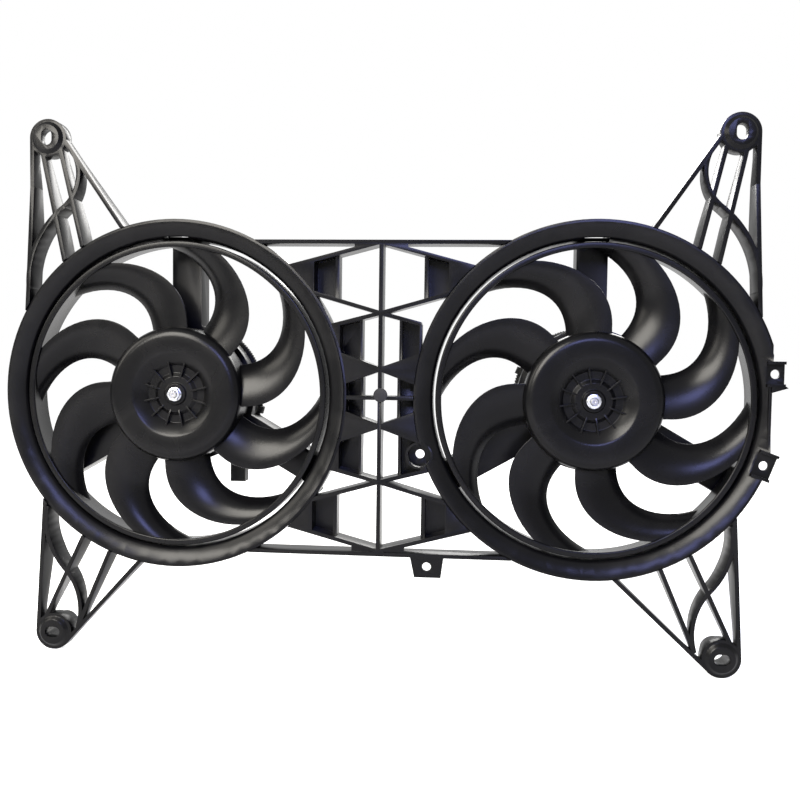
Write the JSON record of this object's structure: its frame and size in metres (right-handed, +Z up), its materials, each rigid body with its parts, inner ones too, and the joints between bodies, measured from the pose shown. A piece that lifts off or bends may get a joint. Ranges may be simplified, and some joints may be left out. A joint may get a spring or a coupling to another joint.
{
  "type": "twin radiator cooling fan",
  "caption": "Open moulded shroud with splayed mounting arms that carries a pair of banded axial fans on electric motors.",
  "frame": {"origin": "midway between the two lower mounting slots, in the plane of the mounting faces", "axes": "+X across the car along the row of fans, +Y back from the mounting faces towards the motors, +Z up"},
  "size_m": [0.8243, 0.1025, 0.5755],
  "materials": {
    "shroud_plastic": "satin black glass-filled nylon",
    "fan_plastic": "satin black glass-filled nylon",
    "plug_rubber": "dull black",
    "can_steel": "semi-gloss black over steel",
    "plate_steel": "zinc-plated sheet",
    "screw_steel": "zinc-plated",
    "magnet_ferrite": "dull dark grey ferrite",
    "bearing_bronze": "oiled sintered bronze",
    "holder_plastic": "brown moulded plastic",
    "brush_carbon": "dull carbon",
    "loom_plastic": "black corrugated loom",
    "grommet_rubber": "dull black",
    "clip_plastic": "black",
    "connector_plastic": "black",
    "core_iron": "laminated iron",
    "winding_copper": "enamelled copper wire",
    "commutator_copper": "turned copper",
    "shaft_steel": "ground steel",
    "nut_steel": "bright zinc-plated"
  },
  "bodies": {
    "shroud": {"left_ring": "shroud_plastic", "right_ring": "shroud_plastic", "centre_lattice": "shroud_plastic", "centre_plug": "plug_rubber", "upper_left_arm": "shroud_plastic", "upper_right_arm": "shroud_plastic", "lower_left_arm": "shroud_plastic", "lower_right_arm": "shroud_plastic", "left_motor_mount": "shroud_plastic", "left_motor_can": "can_steel", "left_motor_end_plate": "plate_steel", "left_motor_screws": "screw_steel", "left_motor_magnets": "magnet_ferrite", "left_front_bearing": "bearing_bronze", "left_rear_bearing": "bearing_bronze", "left_brush_holder": "holder_plastic", "left_brushes": "brush_carbon", "left_lead": "loom_plastic", "left_lead_grommet": "grommet_rubber", "left_lead_clips": "clip_plastic", "left_lead_connector": "connector_plastic", "right_motor_mount": "shroud_plastic", "right_motor_can": "can_steel", "right_motor_end_plate": "plate_steel", "right_motor_screws": "screw_steel", "right_motor_magnets": "magnet_ferrite", "right_front_bearing": "bearing_bronze", "right_rear_bearing": "bearing_bronze", "right_brush_holder": "holder_plastic", "right_brushes": "brush_carbon", "right_lead": "loom_plastic", "right_lead_grommet": "grommet_rubber", "right_lead_clips": "clip_plastic", "right_lead_connector": "connector_plastic"},
    "left_rotor": {"left_armature_core": "core_iron", "left_armature_windings": "winding_copper", "left_commutator": "commutator_copper", "left_motor_shaft": "shaft_steel", "left_fan_nut": "nut_steel", "left_fan": "fan_plastic"},
    "right_rotor": {"right_armature_core": "core_iron", "right_armature_windings": "winding_copper", "right_commutator": "commutator_copper", "right_motor_shaft": "shaft_steel", "right_fan_nut": "nut_steel", "right_fan": "fan_plastic"}
  },
  "joints": [
    {"name": "left_fan_spin", "type": "hinge", "parent": "shroud", "child": "left_rotor", "pos_m": [-0.2224, 0.025, 0.263], "axis": [0, 1, 0], "continuous": true},
    {"name": "right_fan_spin", "type": "hinge", "parent": "shroud", "child": "right_rotor", "pos_m": [0.2224, 0.025, 0.263], "axis": [0, 1, 0], "continuous": true}
  ]
}
